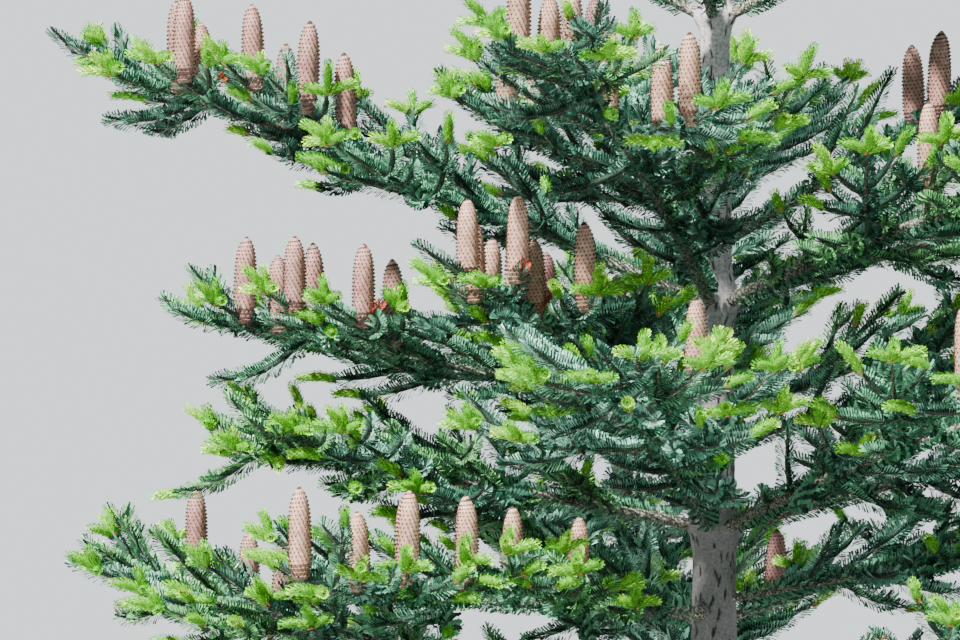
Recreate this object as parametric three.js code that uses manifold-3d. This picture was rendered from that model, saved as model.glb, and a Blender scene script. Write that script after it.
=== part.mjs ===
// A Greek fir as it stands rooted on level ground: one straight trunk, whorls of boughs, a mass of needled
// twigs round the end of each bough, and upright cones fused to the twigs of the upper and middle whorls.
// Millimetres, +Z up. The origin is the middle of the trunk's flat cut at ground level.
import * as THREE from "three";
import { mergeVertices } from "three/addons/utils/BufferGeometryUtils.js";
import Module from "manifold-3d";

const wasm = await Module();
wasm.setup();

// Driving dimensions of the tree and its trunk
const TREE_HEIGHT = 4000;
const TRUNK_TAPER = 0.014; // radius gained for each millimetre below the tip
const TRUNK_TOP = 3580; // the trunk passes into last year's leader here
const FLARE_HEIGHT = 90;
const FLARE_RADIUS = 42;
const FLARE_LOBES = 5;
const WHORL_SWELLING = 0.09;
const GAP = 0.3; // clearance between neighbouring solids

// Needled twigs
const NEEDLED_RADIUS = 12; // the core that a twig and its needles fill
const SPRAY_BREADTH = 0.2; // half a spray's breadth as a share of its length
const MOST_BROAD = 2.4; // and at most this many times its own radius
const NEEDLE_LENGTH = 25;
const NEEDLE_RADIUS = 2.2;
const NEW_SHOOT_RADIUS = 11;
const BOUGH_TIP_RADIUS = 2;
const PAIR_STEP = 108; // spacing of the pairs of side twigs along a bough
const SIDE_TWIG_SHARE = 0.6; // a side twig's length as a share of the bough beyond it
const SHORTEST_TWIG = 70;
const LONG_TWIG = 300; // a longer twig has side twigs and a needle of its own among the solids
const SPACE_EDGE = 34; // a twig's own line keeps this far inside the edge of its space
const SPACE_DEPTH = 75; // and this near the bough's own slope, up or down

// Cones
const CONE_HEIGHT = 134;
const CONE_RADIUS = 18;
const CONE_SPACING = 46;
const CONE_CLEARANCE = 90; // from a cone's tip up to the slope of the bough above it

// Whorls from the top: height on the trunk, rise and lift of the boughs, and reach from the bark. bare is the
// share of the reach that is a bare limb, 0 where the needles start at the trunk, and the side twigs begin
// at first. For each bough: its bearing from +X towards +Y, its share of the reach, the degrees added to its
// rise, and its cones.
const WHORLS = [
  { name: "whorl_1", seed: 110, height: 3250, rise: 40, lift: 0, reach: 380, bare: 0, first: 0.2,
    boughs: [[150, 1, 0, 0], [272, 0.9, 2, 0], [28, 1.05, 0, 0]] },
  { name: "whorl_2", seed: 120, height: 2897, rise: 33, lift: 0, reach: 560, bare: 0, first: 0.2,
    boughs: [[205, 1, 0, 2], [325, 1.05, 0, 1], [85, 0.95, 0, 2]] },
  { name: "whorl_3", seed: 130, height: 2527, rise: 27, lift: 0, reach: 740, bare: 0, first: 0.2,
    boughs: [[170, 1, 0, 3], [258, 1, 0, 3], [335, 0.95, -2, 3], [72, 1, 0, 3]] },
  { name: "whorl_4", seed: 1081, height: 2100, rise: 20, lift: -0.07, reach: 915, bare: 0.3, first: 0.35,
    boughs: [[184, 0.95, 4, 8], [254, 1, 7, 8], [312, 1, 0, 4], [12, 1, -3, 2], [98, 1, 1, 2]] },
  { name: "whorl_5", seed: 415, height: 1762, rise: 20, lift: -0.05, reach: 890, bare: 0.3, first: 0.35,
    boughs: [[200, 0.8, -8, 0], [258, 1, 0, 1], [305, 1, 0, 2], [350, 1, -3, 2], [100, 1, 0, 2]] },
  { name: "whorl_6", seed: 1406, height: 1402, rise: 18, lift: -0.02, reach: 950, bare: 0.3, first: 0.35,
    boughs: [[172, 0.95, 0, 3], [236, 1, -10, 0], [310, 1, 0, 3], [15, 1, 0, 2], [95, 1, 0, 2]] },
  { name: "whorl_7", seed: 170, height: 1060, rise: 11, lift: 0.05, reach: 1120, bare: 0, first: 0.4,
    boughs: [[200, 1, 0, 0], [290, 0.95, 0, 0], [20, 1, 0, 0], [110, 1, 0, 0]] },
  { name: "whorl_8", seed: 180, height: 712, rise: 5, lift: 0.08, reach: 1180, bare: 0, first: 0.42,
    boughs: [[152, 1, 0, 0], [245, 0.95, 0, 0], [330, 1, 0, 0], [60, 1, 0, 0]] },
];
// Smaller boughs that leave the trunk between two whorls: name, seed, height, rise, reach, bearing and cones
const BETWEEN = [
  ["between_front", 958, 1912, 20, 640, 240, 7],
  ["between_left", 296, 1935, 10, 720, 190, 6],
  ["between_right", 195, 1653, 12, 520, 336, 0],
  ["between_back", 198, 1925, 17, 560, 88, 0],
  ["high_right", 1005, 2190, 33, 470, 348, 3],
  ["front_right", 205, 1885, 18, 520, 335, 0],
  ["back_right", 210, 1930, 15, 560, 25, 0],
  ["low_front", 475, 1630, 6, 850, 230, 8],
  ["low_right", 220, 1620, 12, 550, 38, 0],
  ["low_back", 225, 1610, 14, 600, 130, 0],
].map(([name, seed, height, rise, reach, bearing, cones]) => (
  { name, seed, height, rise, lift: 0, reach, bare: 0, first: 0.2, boughs: [[bearing, 1, 0, cones]] }
));
const BETWEEN_HALF_SPACE = 25; // degrees to each side

const UP = new THREE.Vector3(0, 0, 1);
const degrees = (angle) => (angle * Math.PI) / 180;

// A repeatable source of numbers: draw(low, high) gives the next one, evenly spread.
function drawer(seed) {
  let state = seed >>> 0;
  const next = () => {
    state = (Math.imul(state, 1664525) + 1013904223) >>> 0;
    return state / 4294967296;
  };
  for (let i = 0; i < 4; i++) next();
  return (low, high) => low + (high - low) * next();
}

// The corners of one ring round a station, counted anticlockwise as seen from the end it points to.
function ringCorners({ at, along, radius, broad = 1, lobes = 0 }, sides) {
  const steep = Math.abs(along.z) > 0.95;
  const side = new THREE.Vector3().crossVectors(steep ? new THREE.Vector3(0, 1, 0) : UP, along).normalize();
  const lift = new THREE.Vector3().crossVectors(along, side).normalize();
  return Array.from({ length: sides }, (_, j) => {
    const angle = (2 * Math.PI * j) / sides + Math.PI / 2;
    const r = radius * (1 + lobes * Math.cos(FLARE_LOBES * angle));
    return at.clone()
      .addScaledVector(side, broad * r * Math.cos(angle))
      .addScaledVector(lift, r * Math.sin(angle));
  });
}

// A closed tube through the stations. An end is flat, or pointed where its radius is 0.
function loft(stations, sides) {
  const corners = [];
  const rings = stations.map((station) => {
    const ring = station.radius === 0 ? [station.at.clone()] : ringCorners(station, sides);
    corners.push(...ring);
    return ring.map((_, j) => corners.length - ring.length + j);
  });
  const faces = [];
  const cap = (ring) => {
    for (let j = 1; j < ring.length - 1; j++) faces.push(ring[0], ring[j], ring[j + 1]);
  };
  cap([...rings[0]].reverse());
  for (let i = 1; i < rings.length; i++) {
    const [low, high] = [rings[i - 1], rings[i]];
    for (let j = 0; j < sides; j++) {
      const k = (j + 1) % sides;
      if (low.length === 1) faces.push(low[0], high[k], high[j]);
      else if (high.length === 1) faces.push(low[j], low[k], high[0]);
      else faces.push(low[j], low[k], high[k], low[j], high[k], high[j]);
    }
  }
  cap(rings[rings.length - 1]);
  const geometry = new THREE.BufferGeometry().setFromPoints(corners);
  geometry.setIndex(faces);
  return solidOf(geometry);
}

function solidOf(geometry) {
  const merged = mergeVertices(geometry, 1e-3);
  return new wasm.Manifold(
    new wasm.Mesh({
      numProp: 3,
      vertProperties: new Float32Array(merged.attributes.position.array),
      triVerts: new Uint32Array(merged.index.array),
    }),
  );
}

// All the pieces as one solid. A loose scrap that the joining leaves is dropped.
function fuse(pieces) {
  const joined = pieces.reduce((whole, piece) => whole.add(piece));
  return joined.decompose().reduce((big, piece) => (piece.volume() > big.volume() ? piece : big));
}

// The trunk tapers evenly to the tip, swells a little where a whorl leaves it, and flares at the foot.
function trunkRadius(height) {
  const even = TRUNK_TAPER * (TREE_HEIGHT - height);
  const swelling = WHORLS.reduce((sum, w) => sum + Math.exp(-(((height - w.height) / 28) ** 2)), 0);
  return even * (1 + WHORL_SWELLING * swelling) + FLARE_RADIUS * Math.exp(-height / FLARE_HEIGHT);
}

function trunkHeights() {
  const foot = [0, 40, 95, 180, 400];
  const collars = WHORLS.flatMap((w) => [w.height - 45, w.height, w.height + 45]);
  return [...foot, ...collars, TRUNK_TOP].sort((a, b) => a - b);
}

function trunkSolid(grown) {
  const stations = trunkHeights().map((height, i, all) => ({
    at: new THREE.Vector3(0, 0, i === 0 && grown ? -1 : height + (i === all.length - 1 ? grown : 0)),
    along: UP,
    radius: trunkRadius(height) + grown,
    lobes: 0.16 * Math.exp(-height / FLARE_HEIGHT),
  }));
  return loft(stations, 2 * FLARE_LOBES);
}

// The line of one bough: at(s) and along(s) with s from 0 at the bark to 1 at the tip.
function makeBough(whorl, index) {
  const draw = drawer(whorl.seed + index);
  const [bearingDegrees, share, addedRise, cones] = whorl.boughs[index];
  const bearing = degrees(bearingDegrees);
  const out = new THREE.Vector3(Math.cos(bearing), Math.sin(bearing), 0);
  const across = new THREE.Vector3(-Math.sin(bearing), Math.cos(bearing), 0);
  const reach = whorl.reach * share * draw(0.97, 1.03);
  const slope = Math.tan(degrees(whorl.rise + addedRise + draw(-1, 1)));
  const sway = reach * draw(-0.03, 0.03);
  const root = trunkRadius(whorl.height);
  const at = (s) =>
    new THREE.Vector3(0, 0, whorl.height + reach * (slope * s + whorl.lift * s * s))
      .addScaledVector(out, root + reach * s)
      .addScaledVector(across, sway * Math.sin(Math.PI * s));
  const along = (s) => at(s + 0.01).sub(at(s - 0.01)).normalize();
  const rootRadius = 1.5 + 0.0105 * reach;
  const radius = (s) => rootRadius + (BOUGH_TIP_RADIUS - rootRadius) * Math.max(s, 0) ** 0.85;
  const halfSpace = halfSpaces(whorl, index);
  return { whorl, index, draw, cones, bearing, halfSpace, across, reach, slope, root, at, along, radius };
}

// Half the angle to the next bough of the whorl, anticlockwise and clockwise.
function halfSpaces(whorl, index) {
  if (whorl.boughs.length === 1) return [degrees(BETWEEN_HALF_SPACE), degrees(BETWEEN_HALF_SPACE)];
  const own = whorl.boughs[index][0];
  const others = whorl.boughs.filter((_, i) => i !== index).map(([bearing]) => bearing);
  const left = Math.min(...others.map((bearing) => (bearing - own + 360) % 360));
  const right = Math.min(...others.map((bearing) => (own - bearing + 360) % 360));
  return [degrees(Math.min(left / 2, 58)), degrees(Math.min(right / 2, 58))];
}

// Where a point lies by a bough: how far out as a share of the reach, how far inside the edge of the bough's
// space, and how far above the bough's own slope.
function placeBy(bough, point) {
  const radial = Math.hypot(point.x, point.y);
  const turn = Math.atan2(point.y, point.x) - bough.bearing;
  const delta = Math.atan2(Math.sin(turn), Math.cos(turn));
  const limit = bough.halfSpace[delta > 0 ? 0 : 1];
  const share = (radial - bough.root) / bough.reach;
  const level = bough.whorl.height + bough.reach * (bough.slope * share + bough.whorl.lift * share * share);
  return { share, inside: radial * Math.sin(limit - Math.abs(delta)), above: point.z - level };
}

function inSpace(bough, point, edge = SPACE_EDGE) {
  const { inside, above } = placeBy(bough, point);
  return inside > edge && Math.abs(above) < SPACE_DEPTH;
}

// A twig that leaves `start` towards `along` and bends a little towards `forward` and upwards.
function makeTwig(start, along, forward, length, order) {
  const heading = along.clone().normalize();
  const at = (u) =>
    start.clone()
      .addScaledVector(heading, length * (u - 0.1 * u * u))
      .addScaledVector(forward, length * 0.12 * u * u)
      .addScaledVector(UP, length * 0.16 * u * u);
  return { at, heading, length, order, twigs: [] };
}

// The twig as grown, shortened until its tip is inside the bough's space, or null where too little is left.
function fitTwig(bough, start, along, forward, length, order, shortest) {
  for (let size = length; size > shortest; size *= 0.86) {
    const twig = makeTwig(start, along, forward, size, order);
    if (inSpace(bough, twig.at(1)) && inSpace(bough, twig.at(0.6))) return twig;
  }
  return null;
}

// Pairs of side twigs along the bough, each with its own shorter pairs, all near one sloping plane.
function sideTwigs(bough) {
  const { whorl, reach, draw, across } = bough;
  const { first } = whorl;
  const last = 0.9;
  const pairs = Math.max(3, Math.round((reach * (last - first)) / PAIR_STEP));
  const twigs = [];
  for (let i = 0; i < pairs; i++) {
    const s = first + ((last - first) * i) / (pairs - 1) + draw(-0.012, 0.012);
    for (const hand of [1, -1]) {
      const length = SIDE_TWIG_SHARE * reach * (1 - s) * draw(0.85, 1.12) + 60;
      const angle = degrees(draw(46, 58) - 10 * s);
      const heading = bough.along(s).multiplyScalar(Math.cos(angle))
        .addScaledVector(across, hand * Math.sin(angle))
        .addScaledVector(UP, draw(-0.28, 0.22));
      const twig = fitTwig(bough, bough.at(s), heading, bough.along(s), length, 2, SHORTEST_TWIG);
      if (twig) twigs.push({ ...twig, main: i % 2 === 0 });
    }
  }
  for (const twig of twigs) addSubTwigs(bough, twig);
  return twigs;
}

function addSubTwigs(bough, twig) {
  const { draw } = bough;
  const pairs = Math.floor(twig.length / 130);
  const stout = twig.length > LONG_TWIG;
  const across = new THREE.Vector3().crossVectors(UP, twig.heading).normalize();
  for (let j = 0; j < pairs; j++) {
    const u = 0.4 + (0.42 * j) / pairs;
    for (const hand of [1, -1]) {
      const length = 0.5 * twig.length * (1 - u) * draw(0.85, 1.15) + 35;
      const angle = degrees(draw(42, 54));
      const heading = twig.heading.clone().multiplyScalar(Math.cos(angle))
        .addScaledVector(across, hand * Math.sin(angle))
        .addScaledVector(UP, draw(-0.4, 0.5));
      const small = fitTwig(bough, twig.at(u), heading, twig.heading, length, 3, SHORTEST_TWIG - 15);
      if (small) twig.twigs.push({ ...small, main: stout && j === 0 });
    }
  }
}

// Where the cones stand: on the upper side of the outer bough and its twigs, clear of one another and of the
// other boughs' spaces.
function coneSites(bough, boughs) {
  const { draw } = bough;
  const choices = [0.6, 0.69, 0.78, 0.87].map((s) => bough.at(s));
  for (const twig of bough.twigs) for (const u of [0.42, 0.7]) choices.push(twig.at(u));
  const sites = [];
  for (let attempt = 0; attempt < 80 && sites.length < bough.cones; attempt++) {
    const point = choices[Math.floor(draw(0, choices.length))];
    const height = CONE_HEIGHT * draw(0.86, 1.08);
    const lean = new THREE.Vector3(draw(-0.05, 0.05), draw(-0.05, 0.05), 1).normalize();
    const outer = placeBy(bough, point).share > 0.42;
    const apart = sites.every((site) => site.point.distanceTo(point) > CONE_SPACING);
    const top = point.clone().addScaledVector(lean, height);
    const clear = boughs.every((other) => other === bough || standsClear(placeBy(other, top)));
    if (outer && apart && clear && inSpace(bough, point, SPACE_EDGE + 4)) sites.push({ point, height, lean });
  }
  return sites;
}

function standsClear({ share, inside, above }) {
  return share > 1.06 || inside < -CONE_RADIUS || above > SPACE_DEPTH || above < -CONE_CLEARANCE;
}

function coneSolid({ point, height, lean }) {
  const profile = [[0.02, 0.82], [0.8, 0.94], [1, 0]];
  const stations = profile.map(([share, width]) => ({
    at: point.clone().addScaledVector(lean, height * share),
    along: lean,
    radius: CONE_RADIUS * width,
  }));
  return loft(stations, 5);
}

// The spray that a twig makes: a slim core, broad and flat as its needles spread, and pointed at the end.
function sprayCore(twig, radius) {
  const long = twig.length > LONG_TWIG;
  const side = [[0, 0.45], [0.3, 1], [0.8, 0.8], [1, 0]];
  const shares = twig.order === 3 ? [[0, 0], [0.42, 1], [1, 0]] : long ? side : [side[0], side[1], side[3]];
  const broad = Math.max(1.3, (SPRAY_BREADTH * twig.length) / radius);
  return loft(shares.map(([u, width]) => ({
    at: twig.at(u),
    along: twig.at(u + 0.01).sub(twig.at(u - 0.01)).normalize(),
    radius: radius * width,
    broad: Math.min(broad, MOST_BROAD),
  })), 3);
}

// One stout needle standing out of a twig's core, up and to one side.
function needleSolid(twig, u, angle) {
  const along = twig.at(u + 0.01).sub(twig.at(u)).normalize();
  const side = new THREE.Vector3().crossVectors(UP, along).normalize();
  const tip = along.clone().multiplyScalar(0.55).addScaledVector(side, Math.sin(angle))
    .addScaledVector(UP, Math.cos(angle)).normalize();
  const start = twig.at(u);
  return loft([
    { at: start, along: tip, radius: NEEDLE_RADIUS },
    { at: start.clone().addScaledVector(tip, NEEDLE_LENGTH), along: tip, radius: 0 },
  ], 3);
}

function limbSolid(bough, trunkSpace) {
  const { bare } = bough.whorl;
  const shares = [-0.02, bare / 2, bare];
  const stations = shares.map((s) => ({ at: bough.at(s), along: bough.along(s), radius: bough.radius(s) }));
  return fuse([loft(stations, 5).subtract(trunkSpace)]);
}

// The end of the bough inside its mass of needles, from the limb or from the trunk to the tip.
function stemSolid(bough) {
  const start = bough.whorl.bare ? bough.whorl.bare + GAP / bough.reach : -0.02;
  const ends = [[0.84, NEEDLED_RADIUS * 0.9], [1, 0]];
  const profile = [[start, bough.radius(start)], [start + 0.09, NEEDLED_RADIUS], ...ends];
  return loft(profile.map(([s, radius], i) => ({
    at: bough.at(s), along: bough.along(s), radius, broad: i === 0 ? 1 : 1.6,
  })), 4);
}

function foliageSolid(bough, trunkSpace) {
  const pieces = [stemSolid(bough)];
  for (const twig of bough.twigs.filter(({ main }) => main)) {
    pieces.push(sprayCore(twig, NEEDLED_RADIUS));
    if (twig.length > LONG_TWIG) pieces.push(needleSolid(twig, 0.65, 0.5));
    const smaller = twig.twigs.filter(({ main }) => main);
    pieces.push(...smaller.map((small) => sprayCore(small, NEEDLED_RADIUS - 1)));
  }
  pieces.push(...bough.coneSites.map(coneSolid));
  return fuse([fuse(pieces).subtract(trunkSpace)]);
}

// Last year's leader above the trunk, its first side shoots, and this year's shoots at the very top.
function crownTipSolid() {
  const leaderTop = TREE_HEIGHT - 92;
  const base = new THREE.Vector3(0, 0, TRUNK_TOP + GAP);
  const foot = [[0, trunkRadius(TRUNK_TOP)], [35, 6], [60, NEEDLED_RADIUS]];
  const profile = [...foot, [leaderTop - base.z, NEEDLED_RADIUS - 2]];
  const leader = [...profile.map(([rise, radius]) => ({
    at: base.clone().addScaledVector(UP, rise), along: UP, radius,
  })), { at: new THREE.Vector3(0, 0, TREE_HEIGHT), along: UP, radius: 0 }];
  const pieces = [loft(leader, 5)];
  const ring = (count, height, length, rise, turn, radius) => {
    for (let i = 0; i < count; i++) {
      const bearing = degrees(turn + (360 * i) / count);
      const heading = new THREE.Vector3(Math.cos(bearing), Math.sin(bearing), Math.tan(degrees(rise)));
      const twig = makeTwig(new THREE.Vector3(0, 0, height), heading, UP, length, 2);
      pieces.push(sprayCore(twig, radius));
    }
  };
  ring(4, TRUNK_TOP + 50, 215, 40, 20, NEEDLED_RADIUS);
  ring(4, leaderTop - 12, 74, 46, 50, NEW_SHOOT_RADIUS);
  return fuse(pieces);
}

const bark = new THREE.MeshStandardMaterial({ color: 0x8f8782, roughness: 0.9, metalness: 0 });
const boughBark = new THREE.MeshStandardMaterial({ color: 0x83715d, roughness: 0.85, metalness: 0 });
const needles = new THREE.MeshStandardMaterial({ color: 0x2d5a47, roughness: 0.55, metalness: 0 });

const tree = new THREE.Group();
function addNode(name, solid, material) {
  const { numProp, vertProperties, triVerts } = solid.getMesh();
  const positions = new Float32Array((vertProperties.length / numProp) * 3);
  for (let i = 0; i < positions.length / 3; i++) {
    positions.set(vertProperties.subarray(i * numProp, i * numProp + 3), i * 3);
  }
  const geometry = new THREE.BufferGeometry();
  geometry.setAttribute("position", new THREE.BufferAttribute(positions, 3));
  geometry.setIndex(new THREE.BufferAttribute(new Uint32Array(triVerts), 1));
  geometry.computeVertexNormals();
  const mesh = new THREE.Mesh(geometry, material);
  mesh.name = name;
  tree.add(mesh);
}

const trunkSpace = trunkSolid(GAP);
const boughsOf = (whorl) => whorl.boughs.map((_, index) => makeBough(whorl, index));
const boughs = [...WHORLS, ...BETWEEN].flatMap(boughsOf);
addNode("trunk", trunkSolid(0), bark);
addNode("crown_tip", crownTipSolid(), needles);
for (const bough of boughs) {
  const { whorl, index } = bough;
  bough.twigs = sideTwigs(bough);
  bough.coneSites = coneSites(bough, boughs);
  const number = whorl.boughs.length > 1 ? `_${index + 1}` : "";
  if (whorl.bare) addNode(`${whorl.name}_bough${number}`, limbSolid(bough, trunkSpace), boughBark);
  addNode(`${whorl.name}_foliage${number}`, foliageSolid(bough, trunkSpace), needles);
}

export default tree;
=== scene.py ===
import math

import bpy
import numpy as np
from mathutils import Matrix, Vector, noise


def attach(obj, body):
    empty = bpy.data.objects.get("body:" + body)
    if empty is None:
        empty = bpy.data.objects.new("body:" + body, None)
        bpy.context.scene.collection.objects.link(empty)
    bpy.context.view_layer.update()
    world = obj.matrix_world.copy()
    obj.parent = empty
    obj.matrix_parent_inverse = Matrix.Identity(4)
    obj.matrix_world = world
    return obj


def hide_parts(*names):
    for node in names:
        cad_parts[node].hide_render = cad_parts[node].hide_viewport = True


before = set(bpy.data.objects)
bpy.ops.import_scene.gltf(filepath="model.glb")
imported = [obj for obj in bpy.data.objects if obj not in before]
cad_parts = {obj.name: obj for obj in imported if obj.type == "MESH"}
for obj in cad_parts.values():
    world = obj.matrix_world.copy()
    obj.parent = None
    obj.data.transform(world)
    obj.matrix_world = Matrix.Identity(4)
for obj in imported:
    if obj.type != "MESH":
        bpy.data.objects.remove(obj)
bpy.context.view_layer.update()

# The view: the upper crown seen level from the front and a little above, from far enough away that the
# tiers keep their true spacing. A pale floor lies under the foot of the tree, and the light is that of a
# bright studio, a broad sun from the upper left and a weaker one from behind.
CROWN_MIDDLE = Vector((-0.352, 0, 2.07))
CAMERA_DISTANCE = 12.0
CAMERA_RISE = math.radians(4)
FLOOR_RADIUS = 9.0
FLOOR_MIDDLE = (0, 0, -0.001)

camera = bpy.data.objects.new("camera", bpy.data.cameras.new("camera"))
camera.data.lens = 300
camera.data.sensor_width = 36
camera.data.clip_end = 200
towards_camera = Vector((0, -math.cos(CAMERA_RISE), math.sin(CAMERA_RISE)))
camera.location = CROWN_MIDDLE + CAMERA_DISTANCE * towards_camera
camera.rotation_euler = towards_camera.to_track_quat("Z", "Y").to_euler()
bpy.context.collection.objects.link(camera)
bpy.context.scene.camera = camera


def add_sun(name, direction, strength, softness, colour):
    sun = bpy.data.objects.new(name, bpy.data.lights.new(name, "SUN"))
    sun.data.energy = strength
    sun.data.angle = math.radians(softness)
    sun.data.color = colour
    sun.rotation_euler = Vector(direction).to_track_quat("Z", "Y").to_euler()
    bpy.context.collection.objects.link(sun)


add_sun("key_sun", (-0.55, -0.75, 1.15), 15.0, 4, (1.0, 0.98, 0.94))
add_sun("back_sun", (0.6, 0.7, 0.9), 1.2, 20, (0.93, 0.97, 1.0))

world = bpy.data.worlds.new("studio")
bpy.context.scene.world = world
world.use_nodes = True
backdrop = world.node_tree.nodes["Background"]
backdrop.inputs["Color"].default_value = (0.80, 0.86, 0.88, 1)
backdrop.inputs["Strength"].default_value = 1.6
sky_light = world.node_tree.nodes.new("ShaderNodeBackground")
sky_light.inputs["Color"].default_value = (0.78, 0.88, 1.0, 1)
sky_light.inputs["Strength"].default_value = 0.45
rays = world.node_tree.nodes.new("ShaderNodeLightPath")
either = world.node_tree.nodes.new("ShaderNodeMixShader")
world.node_tree.links.new(rays.outputs["Is Camera Ray"], either.inputs[0])
world.node_tree.links.new(sky_light.outputs[0], either.inputs[1])
world.node_tree.links.new(backdrop.outputs[0], either.inputs[2])
world.node_tree.links.new(either.outputs[0], world.node_tree.nodes["World Output"].inputs["Surface"])

bpy.ops.mesh.primitive_circle_add(vertices=96, radius=FLOOR_RADIUS, fill_type="NGON", location=FLOOR_MIDDLE)
floor = bpy.context.object
floor.name = "floor"
floor_paint = bpy.data.materials.new("floor_paint")
floor_paint.use_nodes = True
floor_paint.node_tree.nodes["Principled BSDF"].inputs["Base Color"].default_value = (0.55, 0.56, 0.55, 1)
floor_paint.node_tree.nodes["Principled BSDF"].inputs["Roughness"].default_value = 0.9
floor.data.materials.append(floor_paint)


# The trunk: one straight stem of living wood in grey bark, pale high up and painted darker lower down as the
# shade under the boughs, with an even taper, a swelling and a rough collar at each whorl, dark lens-shaped
# slits and a lobed root flare.
# It grows up from the ground and ends in last year's leader.
UP = Vector((0, 0, 1))
TREE_HEIGHT = 4.0
TRUNK_TAPER = 0.014
TRUNK_TOP = 3.58
FLARE_HEIGHT = 0.09
FLARE_RADIUS = 0.042
FLARE_LOBES = 5
WHORL_SWELLING = 0.09
SWELLING_HEIGHT = 0.028

# For each whorl: the share of the reach that is a bare limb, 0 where the needles start at the trunk, and
# the share where the side twigs begin. For each bough: bearing, share of the reach, degrees added to the
# rise, and number of cones.
WHORLS = [
    dict(seed=110, height=3.250, rise=40, lift=0, reach=0.380, bare=0, first=0.2,
         boughs=[(150, 1, 0, 0), (272, 0.9, 2, 0), (28, 1.05, 0, 0)]),
    dict(seed=120, height=2.897, rise=33, lift=0, reach=0.560, bare=0, first=0.2,
         boughs=[(205, 1, 0, 2), (325, 1.05, 0, 1), (85, 0.95, 0, 2)]),
    dict(seed=130, height=2.527, rise=27, lift=0, reach=0.740, bare=0, first=0.2,
         boughs=[(170, 1, 0, 3), (258, 1, 0, 3), (335, 0.95, -2, 3), (72, 1, 0, 3)]),
    dict(seed=1081, height=2.100, rise=20, lift=-0.07, reach=0.915, bare=0.3, first=0.35,
         boughs=[(184, 0.95, 4, 8), (254, 1, 7, 8), (312, 1, 0, 4), (12, 1, -3, 2), (98, 1, 1, 2)]),
    dict(seed=415, height=1.762, rise=20, lift=-0.05, reach=0.890, bare=0.3, first=0.35,
         boughs=[(200, 0.8, -8, 0), (258, 1, 0, 1), (305, 1, 0, 2), (350, 1, -3, 2), (100, 1, 0, 2)]),
    dict(seed=1406, height=1.402, rise=18, lift=-0.02, reach=0.950, bare=0.3, first=0.35,
         boughs=[(172, 0.95, 0, 3), (236, 1, -10, 0), (310, 1, 0, 3), (15, 1, 0, 2), (95, 1, 0, 2)]),
    dict(seed=170, height=1.060, rise=11, lift=0.05, reach=1.120, bare=0, first=0.4,
         boughs=[(200, 1, 0, 0), (290, 0.95, 0, 0), (20, 1, 0, 0), (110, 1, 0, 0)]),
    dict(seed=180, height=0.712, rise=5, lift=0.08, reach=1.180, bare=0, first=0.42,
         boughs=[(152, 1, 0, 0), (245, 0.95, 0, 0), (330, 1, 0, 0), (60, 1, 0, 0)]),
]


def trunk_radius(height):
    even = TRUNK_TAPER * (TREE_HEIGHT - height)
    swelling = sum(math.exp(-(((height - whorl["height"]) / SWELLING_HEIGHT) ** 2)) for whorl in WHORLS)
    return even * (1 + WHORL_SWELLING * swelling) + FLARE_RADIUS * math.exp(-height / FLARE_HEIGHT)


def node_material(name, colours, patch_size, roughness, bump_size=0.0, bump_height=0.0):
    """A material whose colour wanders between the given ones in patches, with a fine relief of its own."""
    paint = bpy.data.materials.new(name)
    paint.use_nodes = True
    tree = paint.node_tree
    shader = tree.nodes["Principled BSDF"]
    shader.inputs["Roughness"].default_value = roughness
    place = tree.nodes.new("ShaderNodeTexCoord")
    patches = tree.nodes.new("ShaderNodeTexNoise")
    patches.inputs["Scale"].default_value = 1 / patch_size
    patches.inputs["Detail"].default_value = 3
    ramp = tree.nodes.new("ShaderNodeValToRGB")
    stops = ramp.color_ramp.elements
    for i, colour in enumerate(colours):
        share = 0.3 + 0.4 * i / max(1, len(colours) - 1)
        stop = stops[i] if i < len(stops) else stops.new(share)
        stop.position = share
        stop.color = (*colour, 1)
    tree.links.new(place.outputs["Object"], patches.inputs["Vector"])
    tree.links.new(patches.outputs["Fac"], ramp.inputs["Fac"])
    tree.links.new(ramp.outputs["Color"], shader.inputs["Base Color"])
    if bump_height:
        grain = tree.nodes.new("ShaderNodeTexNoise")
        grain.inputs["Scale"].default_value = 1 / bump_size
        grain.inputs["Detail"].default_value = 4
        bump = tree.nodes.new("ShaderNodeBump")
        bump.inputs["Distance"].default_value = bump_height
        bump.inputs["Strength"].default_value = 0.9
        tree.links.new(place.outputs["Object"], grain.inputs["Vector"])
        tree.links.new(grain.outputs["Fac"], bump.inputs["Height"])
        tree.links.new(bump.outputs["Normal"], shader.inputs["Normal"])
    return paint


def darken_where(paint, attribute, colour):
    """Mixes the material's colour towards another by a value kept on the mesh's own points."""
    tree = paint.node_tree
    shader = tree.nodes["Principled BSDF"]
    plain = shader.inputs["Base Color"].links[0].from_socket
    value = tree.nodes.new("ShaderNodeAttribute")
    value.attribute_name = attribute
    mix = tree.nodes.new("ShaderNodeMix")
    mix.data_type = "RGBA"
    mix_colours = [socket for socket in mix.inputs if socket.type == "RGBA"]
    mix_colours[1].default_value = (*colour, 1)
    tree.links.new(value.outputs["Fac"], mix.inputs["Factor"])
    tree.links.new(plain, mix_colours[0])
    mixed = [socket for socket in mix.outputs if socket.type == "RGBA"][0]
    tree.links.new(mixed, shader.inputs["Base Color"])


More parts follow.
